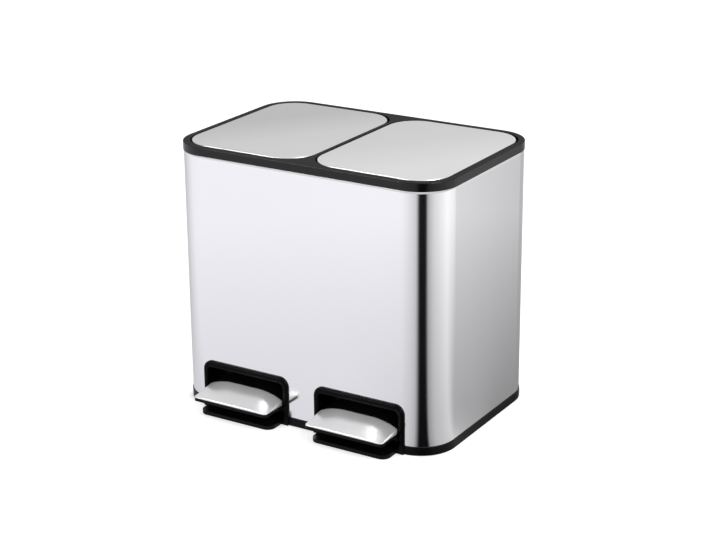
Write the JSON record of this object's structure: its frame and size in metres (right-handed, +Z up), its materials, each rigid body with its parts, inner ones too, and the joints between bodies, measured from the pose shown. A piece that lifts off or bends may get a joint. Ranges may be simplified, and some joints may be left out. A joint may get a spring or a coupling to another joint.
{
  "type": "twin pedal recycling bin",
  "caption": "Free-standing rectangular steel waste bin with round corners, side-by-side lids and pedals, and lift-out inner buckets.",
  "frame": {"origin": "on the floor, under the middle of the outline with the pedals included", "axes": "+Z up, -Y towards the pedals, +X to the right of someone facing the pedals' side from the front"},
  "size_m": [0.389, 0.3014, 0.3506],
  "materials": {
    "polished_shell": "mirror-polished stainless steel sheet",
    "satin_lid": "fine satin stainless steel",
    "pedal_steel": "polished stainless steel",
    "rim_plastic": "fine-textured charcoal moulding",
    "black_plastic": "satin black moulding",
    "bucket_plastic": "dark grey moulding",
    "white_plastic": "natural slide plastic",
    "rubber_foot": "matte rubber",
    "zinc_steel": "zinc-plated steel"
  },
  "bodies": {
    "root": {"outer_shell": "polished_shell", "base": "black_plastic", "rubber_feet": "rubber_foot", "top_rim": "rim_plastic", "lid_bumpers": "rubber_foot", "guide_screws": "zinc_steel", "left_lid_hinge_pin": "zinc_steel", "left_bucket": "bucket_plastic", "left_bezel": "black_plastic", "left_lever_pin": "zinc_steel", "left_rod_guide": "zinc_steel", "left_rod_bush": "white_plastic", "right_lid_hinge_pin": "zinc_steel", "right_bucket": "bucket_plastic", "right_bezel": "black_plastic", "right_lever_pin": "zinc_steel", "right_rod_guide": "zinc_steel", "right_rod_bush": "white_plastic"},
    "left_lid": {"left_lid_skin": "satin_lid", "left_lid_frame": "rim_plastic"},
    "left_pedal": {"left_pedal_cover": "pedal_steel", "left_pedal_body": "black_plastic", "left_pedal_lever": "zinc_steel", "left_pedal_screws": "zinc_steel"},
    "left_rod": {"left_push_rod": "zinc_steel"},
    "right_lid": {"right_lid_skin": "satin_lid", "right_lid_frame": "rim_plastic"},
    "right_pedal": {"right_pedal_cover": "pedal_steel", "right_pedal_body": "black_plastic", "right_pedal_lever": "zinc_steel", "right_pedal_screws": "zinc_steel"},
    "right_rod": {"right_push_rod": "zinc_steel"}
  },
  "joints": [
    {"name": "left_lid_hinge", "type": "hinge", "parent": "root", "child": "left_lid", "pos_m": [-0.0943, 0.12925, 0.347], "axis": [-1, 0, 0], "range_deg": [0, 75]},
    {"name": "left_pedal_hinge", "type": "hinge", "parent": "root", "child": "left_pedal", "pos_m": [-0.085, -0.04375, 0.021], "axis": [1, 0, 0], "range_deg": [0, 9]},
    {"name": "left_rod_slide", "type": "slide", "parent": "root", "child": "left_rod", "axis": [0, 0, 1], "range_m": [0, 0.02453]},
    {"name": "right_lid_hinge", "type": "hinge", "parent": "root", "child": "right_lid", "pos_m": [0.0943, 0.12925, 0.347], "axis": [-1, 0, 0], "range_deg": [0, 75]},
    {"name": "right_pedal_hinge", "type": "hinge", "parent": "root", "child": "right_pedal", "pos_m": [0.085, -0.04375, 0.021], "axis": [1, 0, 0], "range_deg": [0, 9]},
    {"name": "right_rod_slide", "type": "slide", "parent": "root", "child": "right_rod", "axis": [0, 0, 1], "range_m": [0, 0.02453]}
  ],
  "couplings": [
    {"joint": "left_pedal_hinge", "follows": "left_lid_hinge", "ratio": 0.12},
    {"joint": "left_rod_slide", "follows": "left_lid_hinge", "m_per_rad": 0.018736},
    {"joint": "right_pedal_hinge", "follows": "right_lid_hinge", "ratio": 0.12},
    {"joint": "right_rod_slide", "follows": "right_lid_hinge", "m_per_rad": 0.018736}
  ]
}
